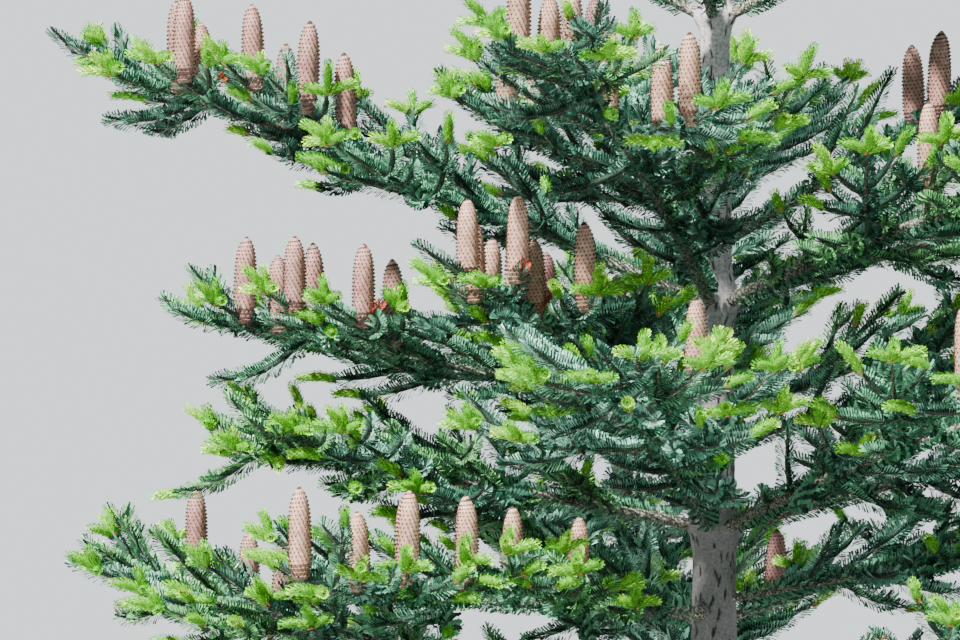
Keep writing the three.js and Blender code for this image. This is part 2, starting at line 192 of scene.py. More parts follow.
def mesh_piece(name, points, faces, paint, slot, smooth=False):
    """A finished piece from arrays of points and of three- or four-cornered faces."""
    corners = faces.shape[1]
    mesh = bpy.data.meshes.new(name)
    mesh.vertices.add(len(points))
    mesh.vertices.foreach_set("co", np.asarray(points, dtype=np.float32).ravel())
    mesh.loops.add(faces.size)
    mesh.loops.foreach_set("vertex_index", np.asarray(faces, dtype=np.int32).ravel())
    mesh.polygons.add(len(faces))
    mesh.polygons.foreach_set("loop_start", np.arange(0, faces.size, corners, dtype=np.int32))
    mesh.polygons.foreach_set("use_smooth", np.full(len(faces), smooth))
    mesh.update(calc_edges=True)
    mesh.materials.append(paint)
    piece = bpy.data.objects.new(name, mesh)
    bpy.context.collection.objects.link(piece)
    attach(piece, "root")
    return piece


def ring_faces(rings, around):
    """Faces between rings of points, each ring closed on itself."""
    ring, step = np.meshgrid(np.arange(rings - 1), np.arange(around), indexing="ij")
    low = ring * around
    after = (step + 1) % around
    return np.stack([low + step, low + after, low + around + after, low + around + step], -1).reshape(-1, 4)


BARK_AROUND = 112
BARK_STEP_SEEN = 0.0036
BARK_STEP = 0.0088
SEEN_FROM, SEEN_TO = 1.5, 2.62
LOBE_DEPTH = 0.16
EVEN_RIPPLE = 0.0007
RIPPLE_SHARE = 0.012
COLLAR_LIFT = 0.008
COLLAR_FOLD = 0.0035
SLIT_COUNT = 1500
SLIT_DEPTH = 0.0022
# Heights and depth of the painted shade that darkens the lower trunk.
PAINTED_SHADE_FROM = 2.5
PAINTED_SHADE_FULL_BELOW = 1.75
DEEPEST_PAINTED_SHADE = 0.7

bark_heights = np.concatenate([
    np.arange(0, SEEN_FROM, BARK_STEP),
    np.arange(SEEN_FROM, SEEN_TO, BARK_STEP_SEEN),
    np.arange(SEEN_TO, TRUNK_TOP, BARK_STEP),
    [TRUNK_TOP],
])
bark_turns = np.linspace(0, 2 * math.pi, BARK_AROUND, endpoint=False)
even_radius = np.array([trunk_radius(h) for h in bark_heights])[:, None]
lobes = np.cos(FLARE_LOBES * (bark_turns + math.pi / 2)) * np.exp(-bark_heights / FLARE_HEIGHT)[:, None]
bark_radius = even_radius * (1 + LOBE_DEPTH * lobes)
ripple = np.zeros_like(bark_radius)
for i, height in enumerate(bark_heights):
    for j, turn in enumerate(bark_turns):
        spot = Vector((math.cos(turn), math.sin(turn), 0)) * 1.6
        ripple[i, j] = (noise.noise(spot * 3 + UP * height * 26)
                        + 0.7 * noise.noise(spot * 9 + UP * height * 55 + Vector((7, 0, 0)))
                        + 0.4 * noise.noise(spot * 20 + UP * height * 160))
bark_radius += ripple * (EVEN_RIPPLE + RIPPLE_SHARE * even_radius)

rng = np.random.default_rng(41)
slit_value = np.zeros_like(bark_radius)
for _ in range(SLIT_COUNT):
    height = TRUNK_TOP * rng.uniform(0, 1) ** 1.15
    turn = rng.uniform(0, 2 * math.pi)
    half_height = rng.uniform(0.005, 0.0105)
    half_width = rng.uniform(0.0012, 0.0022)
    tilt = rng.normal(0, 0.22)
    rows = np.where(np.abs(bark_heights - height) < half_height * 1.3)[0]
    if not len(rows):
        continue
    radius = even_radius[rows[0], 0]
    away = (bark_turns - turn + math.pi) % (2 * math.pi) - math.pi
    across = away[None, :] * radius - (bark_heights[rows] - height)[:, None] * tilt
    up = (bark_heights[rows] - height)[:, None] / half_height
    depth = np.exp(-((across / half_width) ** 2)) * np.clip(1 - up**2, 0, 1) ** 0.5
    slit_value[rows] = np.maximum(slit_value[rows], depth)
bark_radius -= SLIT_DEPTH * slit_value

collars = np.zeros_like(bark_radius)
for whorl in WHORLS:
    for bearing, _, _, _ in whorl["boughs"]:
        away = (bark_turns - math.radians(bearing) + math.pi) % (2 * math.pi) - math.pi
        gap = np.hypot(away[None, :] * even_radius, (bark_heights[:, None] - whorl["height"]) * 0.8)
        size = 0.010 + 0.012 * whorl["reach"]
        folds = 1 + 0.25 * np.sin(gap / COLLAR_FOLD)
        collars += COLLAR_LIFT * np.exp(-((gap / size) ** 2)) * folds
bark_radius += collars * (even_radius > 0.008)

bark_points = np.stack([
    bark_radius * np.cos(bark_turns),
    bark_radius * np.sin(bark_turns),
    np.broadcast_to(bark_heights[:, None], bark_radius.shape),
], -1).reshape(-1, 3)
bark_paint = node_material("trunk_bark", [(0.34, 0.315, 0.325), (0.60, 0.57, 0.585), (0.80, 0.765, 0.78)],
                           0.0045, 0.9, bump_size=0.0020, bump_height=0.0010)
# Painted shade: the lower trunk is mixed towards a dark grey by a value kept on its points.
darken_where(bark_paint, "trunk_painted_shade", (0.125, 0.113, 0.117))
darken_where(bark_paint, "slit", (0.030, 0.025, 0.024))
bark_faces = ring_faces(len(bark_heights), BARK_AROUND)
trunk = mesh_piece("trunk_bark", bark_points, bark_faces, bark_paint, "bark", True)
slit_layer = trunk.data.attributes.new("slit", "FLOAT", "POINT")
slit_layer.data.foreach_set("value", np.clip(slit_value * 2.0 - 0.3, 0, 1).astype(np.float32).ravel())
# How deep the painted shade lies at each height of the trunk.
trunk_painted_shade = DEEPEST_PAINTED_SHADE * np.clip((PAINTED_SHADE_FROM - bark_heights) / (PAINTED_SHADE_FROM - PAINTED_SHADE_FULL_BELOW), 0, 1)
trunk_painted_shade_layer = trunk.data.attributes.new("trunk_painted_shade", "FLOAT", "POINT")
trunk_painted_shade_layer.data.foreach_set("value", np.repeat(trunk_painted_shade, BARK_AROUND).astype(np.float32))
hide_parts("trunk")


# The boughs: each a living limb that tapers from the trunk to its tip, in dark grey-brown bark with pale
# flecks and rows of needle cushions. The model's own rule lays out each bough, its side twigs and their side
# twigs, and a twig that would leave the bough's own space is shortened or left out.
BETWEEN = [
    dict(seed=seed, height=height, rise=rise, lift=0, reach=reach, bare=0, first=0.2,
         boughs=[(bearing, 1, 0, cones)])
    for seed, height, rise, reach, bearing, cones in (
        (958, 1.912, 20, 0.640, 240, 7),
        (296, 1.935, 10, 0.720, 190, 6),
        (195, 1.653, 12, 0.520, 336, 0),
        (198, 1.925, 17, 0.560, 88, 0),
        (1005, 2.190, 33, 0.470, 348, 3),
        (205, 1.885, 18, 0.520, 335, 0),
        (210, 1.930, 15, 0.560, 25, 0),
        (475, 1.630, 6, 0.850, 230, 8),
        (220, 1.620, 12, 0.550, 38, 0),
        (225, 1.610, 14, 0.600, 130, 0),
    )
]
BETWEEN_HALF_SPACE = 25
MOST_HALF_SPACE = 58
SPACE_EDGE = 0.034
SPACE_DEPTH = 0.075
PAIR_STEP = 0.108
SMALL_PAIR_STEP = 0.130
LAST_PAIR = 0.9
SIDE_TWIG_SHARE = 0.6
SHORTEST_TWIG = 0.070
BOUGH_TIP_RADIUS = 0.002
TWIG_RADIUS = {2: (0.0036, 0.0017), 3: (0.0025, 0.0015), 4: (0.0019, 0.0013)}


def drawer(seed):
    """A repeatable source of numbers: draw(low, high) gives the next one, evenly spread."""
    state = seed

    def step():
        nonlocal state
        state = (state * 1664525 + 1013904223) & 0xFFFFFFFF
        return state / 4294967296

    for _ in range(4):
        step()
    return lambda low, high: low + (high - low) * step()


class Twig:
    """A twig that leaves start along heading and bends a little forward and up; at(u) runs from 0 to 1."""

    def __init__(self, start, heading, forward, length, order):
        self.start = start
        self.heading = heading.normalized()
        self.length = length
        self.order = order
        self.thick = TWIG_RADIUS[order][0]
        self.run = self.heading * length
        self.bend = (self.heading * -0.1 + forward * 0.12 + UP * 0.16) * length
        self.twigs = []

    def at(self, u):
        return self.start + self.run * u + self.bend * (u * u)

    def along(self, u):
        return (self.run + self.bend * (2 * u)).normalized()


class Bough:
    """One bough's line, at(s) from 0 at the bark to 1 at the tip, and the wedge of space it keeps to."""

    def __init__(self, whorl, index):
        self.whorl = whorl
        self.index = index
        self.draw = drawer(whorl["seed"] + index)
        bearing, share, added_rise, self.cones = whorl["boughs"][index]
        self.bearing = math.radians(bearing)
        self.out = Vector((math.cos(self.bearing), math.sin(self.bearing), 0))
        self.across = Vector((-math.sin(self.bearing), math.cos(self.bearing), 0))
        self.reach = whorl["reach"] * share * self.draw(0.97, 1.03)
        self.slope = math.tan(math.radians(whorl["rise"] + added_rise + self.draw(-1, 1)))
        self.sway = self.reach * self.draw(-0.03, 0.03)
        self.root = trunk_radius(whorl["height"])
        self.root_radius = 0.0015 + 0.0105 * self.reach
        self.half_space = self.half_spaces()

    def half_spaces(self):
        bearings = [row[0] for row in self.whorl["boughs"]]
        if len(bearings) == 1:
            return [math.radians(BETWEEN_HALF_SPACE)] * 2
        own = bearings.pop(self.index)
        left = min((bearing - own) % 360 for bearing in bearings)
        right = min((own - bearing) % 360 for bearing in bearings)
        return [math.radians(min(gap / 2, MOST_HALF_SPACE)) for gap in (left, right)]

    def level(self, s):
        return self.whorl["height"] + self.reach * (self.slope * s + self.whorl["lift"] * s * s)

    def at(self, s):
        swayed = self.across * (self.sway * math.sin(math.pi * s))
        return UP * self.level(s) + self.out * (self.root + self.reach * s) + swayed

    def along(self, s):
        return (self.at(s + 0.01) - self.at(s - 0.01)).normalized()

    def radius(self, s):
        return self.root_radius + (BOUGH_TIP_RADIUS - self.root_radius) * max(s, 0) ** 0.85

    def place(self, point):
        """A point's share of the reach, how far inside the space it lies, and how far above the slope."""
        radial = math.hypot(point.x, point.y)
        turn = math.atan2(point.y, point.x) - self.bearing
        delta = math.atan2(math.sin(turn), math.cos(turn))
        limit = self.half_space[0 if delta > 0 else 1]
        share = (radial - self.root) / self.reach
        return share, radial * math.sin(limit - abs(delta)), point.z - self.level(share)

    def holds(self, point, edge=SPACE_EDGE, depth=SPACE_DEPTH):
        _, inside, above = self.place(point)
        return inside > edge and abs(above) < depth

    def fit_twig(self, start, heading, forward, length, order, shortest, edge=SPACE_EDGE, depth=SPACE_DEPTH):
        while length > shortest:
            twig = Twig(start, heading, forward, length, order)
            if self.holds(twig.at(1), edge, depth) and self.holds(twig.at(0.6), edge, depth):
                return twig
            length *= 0.86
        return None


def side_twigs(bough):
    first = bough.whorl["first"]
    pairs = max(3, math.floor(bough.reach * (LAST_PAIR - first) / PAIR_STEP + 0.5))
    twigs = []
    for i in range(pairs):
        s = first + (LAST_PAIR - first) * i / (pairs - 1) + bough.draw(-0.012, 0.012)
        for hand in (1, -1):
            length = SIDE_TWIG_SHARE * bough.reach * (1 - s) * bough.draw(0.85, 1.12) + 0.060
            angle = math.radians(bough.draw(46, 58) - 10 * s)
            heading = (bough.along(s) * math.cos(angle) + bough.across * (hand * math.sin(angle))
                       + UP * bough.draw(-0.28, 0.22))
            twig = bough.fit_twig(bough.at(s), heading, bough.along(s), length, 2, SHORTEST_TWIG)
            if twig:
                twigs.append(twig)
    for twig in twigs:
        add_sub_twigs(bough, twig)
    return twigs


def add_sub_twigs(bough, twig):
    pairs = math.floor(twig.length / SMALL_PAIR_STEP)
    across = UP.cross(twig.heading).normalized()
    for j in range(pairs):
        u = 0.4 + 0.42 * j / pairs
        for hand in (1, -1):
            length = 0.5 * twig.length * (1 - u) * bough.draw(0.85, 1.15) + 0.035
            angle = math.radians(bough.draw(42, 54))
            heading = (twig.heading * math.cos(angle) + across * (hand * math.sin(angle))
                       + UP * bough.draw(-0.4, 0.5))
            small = bough.fit_twig(twig.at(u), heading, twig.heading, length, 3, SHORTEST_TWIG - 0.015)
            if small:
                twig.twigs.append(small)


def tubes(paths, radii, sides):
    """Points and faces of many open tubes, from paths of equal count and a radius at each station."""
    count, stations = paths.shape[:2]
    run = np.gradient(paths, axis=1)
    run /= np.linalg.norm(run, axis=2, keepdims=True)
    side = np.cross([0.0, 0.0, 1.0], run)
    steep = np.linalg.norm(side, axis=2, keepdims=True) < 0.08
    side = np.where(steep, np.cross([0.0, 1.0, 0.0], run), side)
    side /= np.linalg.norm(side, axis=2, keepdims=True)
    top = np.cross(run, side)
    turns = np.linspace(0, 2 * math.pi, sides, endpoint=False)
    ring = side[:, :, None] * np.cos(turns)[:, None] + top[:, :, None] * np.sin(turns)[:, None]
    points = paths[:, :, None] + ring * radii.reshape(count, stations, -1)[:, :, :, None]
    one = ring_faces(stations, sides)
    faces = (np.arange(count)[:, None, None] * stations * sides + one).reshape(-1, 4)
    return points.reshape(-1, 3), faces


LIMB_SIDES = 10
LIMB_STATIONS = 72

boughs = [Bough(whorl, i) for whorl in WHORLS + BETWEEN for i in range(len(whorl["boughs"]))]
for bough in boughs:
    bough.twigs = side_twigs(bough)

limb_shares = np.linspace(-0.02, 1, LIMB_STATIONS)
limb_paths = np.array([[bough.at(s) for s in limb_shares] for bough in boughs])
limb_radii = np.array([[bough.radius(s) for s in limb_shares] for bough in boughs])
scar_row = np.arange(LIMB_STATIONS)[None, :, None] + np.arange(LIMB_SIDES)[None, None, :] * 1.5
scars = 1 + 0.07 * np.sin(scar_row * 2.1) + 0.05 * np.sin(scar_row * 5.3)
limb_points, limb_faces = tubes(limb_paths, limb_radii[:, :, None] * scars, LIMB_SIDES)
limb_paint = node_material("bough_bark", [(0.02, 0.018, 0.014), (0.15, 0.135, 0.11), (0.72, 0.67, 0.59)],
                           0.0035, 0.8, bump_size=0.002, bump_height=0.001)
limbs = mesh_piece("bough_bark", limb_points, limb_faces, limb_paint, "bough_bark", True)
limb_nodes = [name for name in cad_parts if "_bough_" in name]
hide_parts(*limb_nodes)


# The twigs: side twigs and their side twigs as laid out above, and the finer ones that fill the space
# between them, all of thin bark with pale flecks, painted near black as the shade inside the crown. They
# carry the needles and stand for the masses of foliage. The cones' places are settled first, with the
# model's own draws, and the finer twigs avoid them.
CONE_HEIGHT = 0.134
CONE_RADIUS = 0.018
CONE_SPACING = 0.046
CONE_CLEARANCE = 0.090
CONE_TRIES = 80
CONES_FROM = 0.42
CONE_EDGE = SPACE_EDGE + 0.004


def stands_clear(other, point):
    share, inside, above = other.place(point)
    return share > 1.06 or inside < -CONE_RADIUS or above > SPACE_DEPTH or above < -CONE_CLEARANCE


def cone_sites(bough):
    choices = [bough.at(s) for s in (0.6, 0.69, 0.78, 0.87)]
    choices += [twig.at(u) for twig in bough.twigs for u in (0.42, 0.7)]
    sites = []
    for _ in range(CONE_TRIES):
        if len(sites) >= bough.cones:
            break
        point = choices[int(bough.draw(0, len(choices)))]
        height = CONE_HEIGHT * bough.draw(0.86, 1.08)
        lean = Vector((bough.draw(-0.05, 0.05), bough.draw(-0.05, 0.05), 1)).normalized()
        outer = bough.place(point)[0] > CONES_FROM
        apart = all((site[0] - point).length > CONE_SPACING for site in sites)
        top = point + lean * height
        clear = all(other is bough or stands_clear(other, top) for other in boughs)
        if outer and apart and clear and bough.holds(point, CONE_EDGE):
            sites.append((point, height, lean))
    return sites


for bough in boughs:
    bough.sites = cone_sites(bough)

CLEAR_OF_CONE = 0.055
FINE_STRETCH = {2: (0.14, 0.93), 3: (0.3, 0.93), 4: (0.3, 0.85)}
FINE_STEP = 0.085
FINE_SIZES = (0.062, 0.112)
LEAST_BARE = 0.1
TWIGLESS_SHARE = 0.35
LIMB_TWIGS_TO = 0.97
LIMB_TWIG_STEP = 0.030
SMALL_LIMB_TWIG_STEP = 0.040
LIMB_TWIG_SIZES = (0.11, 0.20)
LIMB_SIDE_STEP = 0.045
LIMB_SIDE_SIZES = (0.05, 0.09)
SHORTEST_FINE = 0.035
FINE_EDGE = 0.03
FINE_DEPTH = 0.11
RAISED = ((-0.15, 0.25), (0.3, 0.85), (-0.9, -0.2), (-0.3, 0.4))


def crowds_cone(sites, *points):
    """Whether any of the points lies beside one of the cones and higher than its foot."""
    for foot, height, _ in sites:
        for point in points:
            beside = math.hypot(point.x - foot.x, point.y - foot.y) < CLEAR_OF_CONE
            if beside and 0.012 < point.z - foot.z < height + 0.03:
                return True
    return False


def fine_twigs(bough, line, length, stretch, step, sizes):
    """Short twigs to alternate sides of a stretch of a bough or twig, level, rising and hanging in turn."""
    first, last = stretch
    steps = int(length * (last - first) / step)
    found = []
    for k in range(steps):
        u = first + (last - first) * (k + bough.draw(0.2, 0.8)) / steps
        along = line.along(u)
        across = UP.cross(along).normalized()
        hand = 1 if k % 2 else -1
        angle = math.radians(bough.draw(40, 56))
        raised = bough.draw(*RAISED[(k // 2) % len(RAISED)])
        heading = along * math.cos(angle) + across * (hand * math.sin(angle)) + UP * raised
        size = bough.draw(*sizes) * (1.12 - 0.3 * u)
        twig = bough.fit_twig(line.at(u), heading, along, size, 4, SHORTEST_FINE, FINE_EDGE, FINE_DEPTH)
        if twig and not crowds_cone(bough.sites, twig.at(0.5), twig.at(1)):
            found.append(twig)
    return found


sprays = []
for bough in boughs:
    for twig in bough.twigs:
        spray = [twig, *twig.twigs]
        for stem in [twig, *twig.twigs]:
            spray += fine_twigs(bough, stem, stem.length, FINE_STRETCH[stem.order], FINE_STEP, FINE_SIZES)
        sprays.append(spray)
    limb_stretch = (max(bough.whorl["bare"], LEAST_BARE) * TWIGLESS_SHARE, LIMB_TWIGS_TO)
    step = LIMB_TWIG_STEP if bough.whorl["bare"] else SMALL_LIMB_TWIG_STEP
    spray = fine_twigs(bough, bough, bough.reach, limb_stretch, step, LIMB_TWIG_SIZES)
    for stem in list(spray):
        spray += fine_twigs(bough, stem, stem.length, FINE_STRETCH[4], LIMB_SIDE_STEP, LIMB_SIDE_SIZES)
    sprays.append(spray)

LEADER_TOP = TREE_HEIGHT - 0.092
LEADER_SIDE_TWIGS = 4
LEADER_SIDE_FROM = TRUNK_TOP + 0.05
LEADER_SIDE_LENGTH = 0.215
LEADER_SIDE_RISE = math.tan(math.radians(40))
leader = Twig(UP * TRUNK_TOP, UP, UP, LEADER_TOP - TRUNK_TOP, 2)
leader.bend = Vector((0, 0, 0))
leader.run = UP * (LEADER_TOP - TRUNK_TOP)
top_spray = [leader]
for i in range(LEADER_SIDE_TWIGS):
    turn = math.radians(20 + 360 / LEADER_SIDE_TWIGS * i)
    heading = Vector((math.cos(turn), math.sin(turn), LEADER_SIDE_RISE))
    top_spray.append(Twig(UP * LEADER_SIDE_FROM, heading, UP, LEADER_SIDE_LENGTH, 2))
sprays.append(top_spray)

TWIG_STATIONS = {2: 7, 3: 5, 4: 4}


def path_arrays(twigs):
    """The twigs' lines as arrays, for whatever grows along them."""
    return dict(
        start=np.array([twig.start for twig in twigs]),
        run=np.array([twig.run for twig in twigs]),
        bend=np.array([twig.bend for twig in twigs]),
        length=np.array([twig.length for twig in twigs]),
        thick=np.array([twig.thick for twig in twigs]),
    )


def line_tubes(lines, stations, radii, sides, lift=0.0):
    """Tubes along the given lines, the radii spread evenly over each, and lifted above it if need be."""
    u = np.linspace(0, 1, stations)[None, :, None]
    paths = lines["start"][:, None] + lines["run"][:, None] * u + lines["bend"][:, None] * u**2
    spread = np.interp(u[0, :, 0], np.linspace(0, 1, len(radii)), radii)
    return tubes(paths + np.array([0, 0, lift]), np.broadcast_to(spread, paths.shape[:2]), sides)


def join(parts):
    """Several (points, faces) pairs as one."""
    offsets = np.cumsum([0] + [len(points) for points, _ in parts[:-1]])
    return (np.concatenate([points for points, _ in parts]),
            np.concatenate([faces + offset for (_, faces), offset in zip(parts, offsets)]))


lines_of_order = {}
for order in TWIG_STATIONS:
    lines_of_order[order] = path_arrays([twig for spray in sprays for twig in spray if twig.order == order])
bark_parts = [line_tubes(lines, TWIG_STATIONS[order], TWIG_RADIUS[order], 5 if order == 2 else 3)
              for order, lines in lines_of_order.items()]
# Painted near black as the shade inside the crown, with the bark's own pale flecks.
twig_bark_and_shade_paint = node_material("twig_bark", [(0.018, 0.020, 0.012), (0.052, 0.048, 0.030), (0.46, 0.40, 0.29)],
                           0.0028, 0.75)
twigs_piece = mesh_piece("twig_bark", *join(bark_parts), twig_bark_and_shade_paint, "bough_bark", True)
masses = [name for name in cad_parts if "foliage" in name or name == "crown_tip"]
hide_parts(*masses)


# The older needles: stiff, flat, blunt, dark blue-green with a pale waxy bloom, one from each cushion of
# the bark, all round the twig and swept a little forwards and up, so that a twig looks like a round brush.
# Each spray has one of four tints, and three of every seven rows of its needles are painted darker, as the
# shade between the needles; the rest are lighter, with a painted highlight.
NEEDLE_ROWS = 7
PAINTED_SHADE_ROWS = (0, 2, 5)
PIECE_LIMIT = 190000
NEEDLE_TWIST = math.radians(22)
NEEDLE_PATCH = 0.02
NEEDLE_ROUGHNESS = 0.36
OLD_PER_METRE = 1660
OLD_IN_TURN = 7.13
OLD_LENGTH = 0.0190
OLD_WIDTH = 0.0034
OLD_LEAN = (0.45, 1, 0.48)
BED_RADIUS = 0.0058
BED_LIFT = 0.0032


def unit(vectors):
    return vectors / np.maximum(np.linalg.norm(vectors, axis=1, keepdims=True), 1e-9)


def needles(lines, per_metre, per_turn, length, width, lean, seed):
    """Flat needles that stand in a spiral round the given lines, narrow at the foot and blunt at the tip.

    lean says how much each points along the line, outwards, and upwards."""
    rng = np.random.default_rng(seed)
    counts = np.ceil(lines["length"] * per_metre / NEEDLE_ROWS).astype(int) * NEEDLE_ROWS
    which = np.repeat(np.arange(len(counts)), counts)
    step = np.arange(counts.sum()) - np.repeat(np.cumsum(counts) - counts, counts)
    count = len(which)
    u = ((step + rng.uniform(0.3, 0.7, count)) / counts[which])[:, None]
    middle = lines["start"][which] + lines["run"][which] * u + lines["bend"][which] * u**2
    along = unit(lines["run"][which] + 2 * lines["bend"][which] * u)
    side = np.cross([0.0, 0.0, 1.0], along)
    steep = np.linalg.norm(side, axis=1, keepdims=True) < 0.15
    side = unit(np.where(steep, np.cross([0.0, 1.0, 0.0], along), side))
    top = np.cross(along, side)
    turn = (((step / per_turn) % 1 * 2 - 1) * math.pi + rng.normal(0, 0.04, count))[:, None]
    out = top * np.cos(turn) + side * np.sin(turn)
    forward = u**6 * 1.5 + rng.normal(0, 0.05, (count, 1))
    heading = unit(along * (lean[0] + forward) + out * lean[1] + top * lean[2])
    level = unit(np.cross(heading, out))
    twist = NEEDLE_TWIST + rng.normal(0, 0.3, (count, 1))
    flat = level * np.cos(twist) + np.cross(heading, level) * np.sin(twist)
    size = length * rng.uniform(0.88, 1.06, (count, 1)) * (1 - 0.3 * u**6)
    foot = middle + out * lines["thick"][which][:, None] * 0.7
    tip = foot + heading * size
    half = flat * width / 2
    return np.stack([foot, tip + half, tip - half], 1)


def needle_pieces(name, faces, tones, patch_size, roughness):
    """The needles in two tones, the darker rows as painted shade and the rest with a painted highlight, each
    tone in pieces under the limit of triangles.
    """
    # Three of every seven rows take the darker tone, a painted shade; the others the lighter tone, a painted
    # highlight.
    in_painted_shade = np.isin(np.arange(len(faces)) % NEEDLE_ROWS, PAINTED_SHADE_ROWS)
    for tone, corners, colours in zip(("dark", "light"), (faces[in_painted_shade], faces[~in_painted_shade]), tones):
        paint = node_material(f"{name}_{tone}", colours, patch_size, roughness)
        for part, some in enumerate(np.array_split(corners, math.ceil(len(corners) / PIECE_LIMIT))):
            index = np.arange(len(some) * 3).reshape(-1, 3)
            mesh_piece(f"{name}_{tone}_{part + 1}", some.reshape(-1, 3), index, paint, "needles")


def limb_part(bough, first, last):
    """Part of a bough as a twig-like line through its two ends and its middle."""
    low, middle, high = bough.at(first), bough.at((first + last) / 2), bough.at(last)
    piece = Twig(low, high - low, UP, (high - low).length, 2)
    piece.bend = (low + high - middle * 2) * 2
    piece.run = high - low - piece.bend
    piece.thick = bough.radius((first + last) / 2) * 1.2
    return piece


# Each tint: the colours of the darker rows (painted shade), then of the lighter rows (painted highlight).
OLD_TINTS = {
    "deep": ([(0.005, 0.036, 0.018), (0.012, 0.075, 0.040)], [(0.095, 0.345, 0.190), (0.215, 0.560, 0.340)]),
    "blue": ([(0.007, 0.044, 0.030), (0.018, 0.088, 0.060)], [(0.185, 0.500, 0.360), (0.380, 0.730, 0.560)]),
    "green": ([(0.008, 0.048, 0.016), (0.020, 0.095, 0.034)], [(0.125, 0.425, 0.145), (0.270, 0.640, 0.250)]),
    "shade": ([(0.003, 0.018, 0.011), (0.007, 0.034, 0.021)], [(0.035, 0.145, 0.090), (0.080, 0.250, 0.160)]),
}
rng = np.random.default_rng(7)
spray_tint = rng.choice(len(OLD_TINTS), len(sprays), p=[0.32, 0.30, 0.22, 0.16])
for k, (tint, colours) in enumerate(OLD_TINTS.items()):
    chosen = [twig for spray, dealt in zip(sprays, spray_tint) if dealt == k for twig in spray]
    faces = needles(path_arrays(chosen), OLD_PER_METRE, OLD_IN_TURN, OLD_LENGTH, OLD_WIDTH, OLD_LEAN, 60 + k)
    needle_pieces(f"old_needles_{tint}", faces, colours, NEEDLE_PATCH, NEEDLE_ROUGHNESS)

# A bed lies under the needles on the upper side of each twig, painted dark as the shade deep among them.
bed_radii = [BED_RADIUS * share for share in (0.9, 1, 0.9, 0.1)]
bed_parts = [line_tubes(lines, TWIG_STATIONS[order] - 1, bed_radii, 3, BED_LIFT)
             for order, lines in lines_of_order.items()]
shade_bed_paint = node_material("needle_beds", [(0.005, 0.022, 0.013), (0.020, 0.068, 0.042)], 0.0022, 0.7)
mesh_piece("needle_beds", *join(bed_parts), shade_bed_paint, "needles", True)

# The limbs' own needles are shorter, and stand closer because the limb is thicker.
LIMB_PER_METRE = 2900
LIMB_IN_TURN = 11.13
LIMB_NEEDLE_LENGTH = 0.0165
LIMB_NEEDLE_WIDTH = 0.0036
LIMB_LEAN = (0.6, 1, 0.3)
LIMB_PARTS = 5

part_ends = np.linspace(0.03, 1, LIMB_PARTS + 1)
limb_parts = [limb_part(bough, a, b) for bough in boughs for a, b in zip(part_ends, part_ends[1:])]
faces = needles(path_arrays(limb_parts), LIMB_PER_METRE, LIMB_IN_TURN, LIMB_NEEDLE_LENGTH,
                LIMB_NEEDLE_WIDTH, LIMB_LEAN, 70)
needle_pieces("limb_needles", faces, OLD_TINTS["deep"], NEEDLE_PATCH, NEEDLE_ROUGHNESS)


# This spring's shoots: soft, short, plump and bright yellow-green, close-needled all round, in threes or
# fours at the ends of the twigs and arched a little over, with papery orange-brown bud scales left at the
# foot of every other one.
NEW_PER_METRE = 1700
NEW_IN_TURN = 7.55
NEW_LENGTH = 0.0090
NEW_WIDTH = 0.0026
NEW_LEAN = (1.7, 1, 0.15)
NEW_CORE = 0.0068
SHOOT_SIZES = {2: (0.042, 0.066), 3: (0.042, 0.066), 4: (0.034, 0.048)}
SIDE_SHOOT_SHARE = 0.8
SHOOT_DROOP = 0.28
FAN_ANGLES = (0.85, 1.2)
UPRIGHT = 0.1
FAN_CHANCE = 0.40
SHOOT_CHANCE = {3: 0.74, 4: 0.10}
LIMB_SHOOT_SIZE = 0.042
LIMB_FAN_ANGLE = 0.9
TOP_GAP = 0.012


def shoot_fan(order, chance):
    """The shoots at a twig's end: 0 straight on, 1 and -1 to its sides, and UPRIGHT above it."""
    if order == 2:
        return [0, 1, -1, UPRIGHT]
    if order == 3 and chance < FAN_CHANCE:
        return [0, 1, -1]
    return [0] if chance < SHOOT_CHANCE[order] else []


def new_shoot(start, heading, length, droop):
    shoot = Twig(start, heading, heading, length, 4)
    shoot.bend = UP * (-droop * length)
    shoot.run = shoot.heading * length - shoot.bend * 0.4
    shoot.thick = NEW_CORE
    return shoot


all_sites = [site for bough in boughs for site in bough.sites]
rng = np.random.default_rng(19)
shoots = []
for spray in sprays:
    for twig in spray:
        along = twig.along(1)
        across = UP.cross(along)
        across = across.normalized() if across.length > 0.1 else Vector((1, 0, 0))
        top = along.cross(across)
        for hand in shoot_fan(twig.order, rng.uniform()):
            angle = hand * rng.uniform(*FAN_ANGLES)
            raised = rng.uniform(0.0, 0.4) if hand != UPRIGHT else 1.0
            heading = along * math.cos(angle) + across * math.sin(angle) + top * raised
            size = rng.uniform(*SHOOT_SIZES[twig.order]) * (1 if hand == 0 else SIDE_SHOOT_SHARE)
            shoot = new_shoot(twig.at(1), heading, size, SHOOT_DROOP)
            if not crowds_cone(all_sites, shoot.at(0.5), shoot.at(1)):
                shoots.append(shoot)
for bough in boughs:
    for hand in (0, 1, -1):
        angle = hand * LIMB_FAN_ANGLE
        heading = bough.along(0.98) * math.cos(angle) + bough.across * math.sin(angle) + UP * 0.15
        shoots.append(new_shoot(bough.at(1), heading, LIMB_SHOOT_SIZE, 0.2))
shoots.append(new_shoot(UP * LEADER_TOP, UP, TREE_HEIGHT - LEADER_TOP - TOP_GAP, 0))

